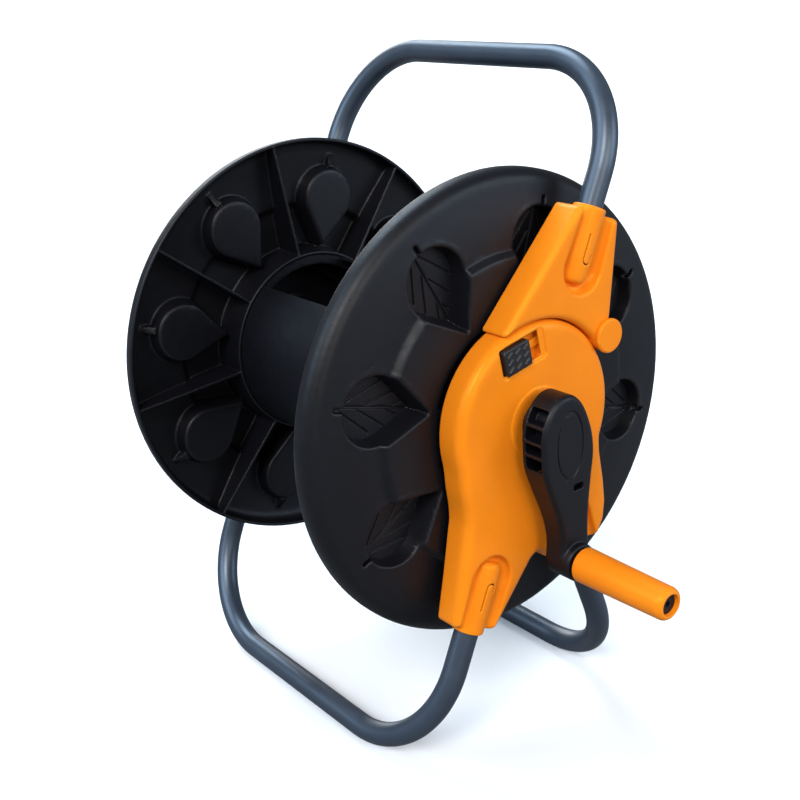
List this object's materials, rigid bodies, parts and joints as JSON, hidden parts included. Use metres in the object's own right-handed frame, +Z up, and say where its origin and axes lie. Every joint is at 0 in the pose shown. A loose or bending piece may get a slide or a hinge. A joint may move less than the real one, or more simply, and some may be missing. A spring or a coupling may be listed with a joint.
{
  "type": "garden hose reel",
  "caption": "Portable garden hose reel: crank-wound drum between moulded side frames on tubular foot bows, with a folding carrying handle.",
  "frame": {"origin": "on the floor, at the centre of the whole reel's footprint box", "axes": "+Z up, +Y along the drum axis away from the crank, +X to the right as seen from the crank side"},
  "size_m": [0.38, 0.523, 0.5558],
  "materials": {
    "orange_plastic": "satin moulded plastic",
    "black_plastic": "fine grained moulded plastic",
    "tube_paint": "smooth blue-grey powder coat",
    "steel": "zinc plated",
    "seal_rubber": "smooth"
  },
  "bodies": {
    "stand": {"front_side_frame": "orange_plastic", "rear_side_frame": "orange_plastic", "left_foot_bow": "tube_paint", "right_foot_bow": "tube_paint", "front_bearing_bush": "black_plastic", "rear_thrust_washer": "black_plastic", "water_inlet": "black_plastic", "inlet_seals": "seal_rubber", "inlet_screws": "steel", "front_hinge_pin": "steel", "rear_hinge_pin": "steel", "front_hinge_cap": "orange_plastic", "rear_hinge_cap": "orange_plastic"},
    "latch": {"latch_slider": "black_plastic"},
    "handle": {"handle_bow": "tube_paint", "front_handle_bracket": "orange_plastic", "rear_handle_bracket": "orange_plastic"},
    "drum": {"front_flange": "black_plastic", "rear_flange": "black_plastic", "left_barrel_shell": "black_plastic", "right_barrel_shell": "black_plastic", "crank_shaft": "black_plastic", "shaft_screws": "steel", "crank_arm": "black_plastic", "crank_bolt": "steel", "grip_pin": "black_plastic", "swivel_body": "black_plastic", "swivel_screws": "steel", "hose_tail": "black_plastic"},
    "grip": {"grip_sleeve": "orange_plastic"}
  },
  "joints": [
    {"name": "drum_spin", "type": "hinge", "parent": "stand", "child": "drum", "pos_m": [0, 0.0475, 0.28439], "axis": [0, 1, 0], "continuous": true},
    {"name": "grip_spin", "type": "hinge", "parent": "drum", "child": "grip", "pos_m": [0.01093, -0.2025, 0.17293], "axis": [0, 1, 0], "continuous": true},
    {"name": "handle_fold", "type": "hinge", "parent": "stand", "child": "handle", "pos_m": [0.07498, 0.0475, 0.33841], "axis": [0, 1, 0], "range_deg": [0, 135]},
    {"name": "latch_slide", "type": "slide", "parent": "stand", "child": "latch", "axis": [0.9744, 0, 0.225], "range_m": [0, 0.01]}
  ]
}
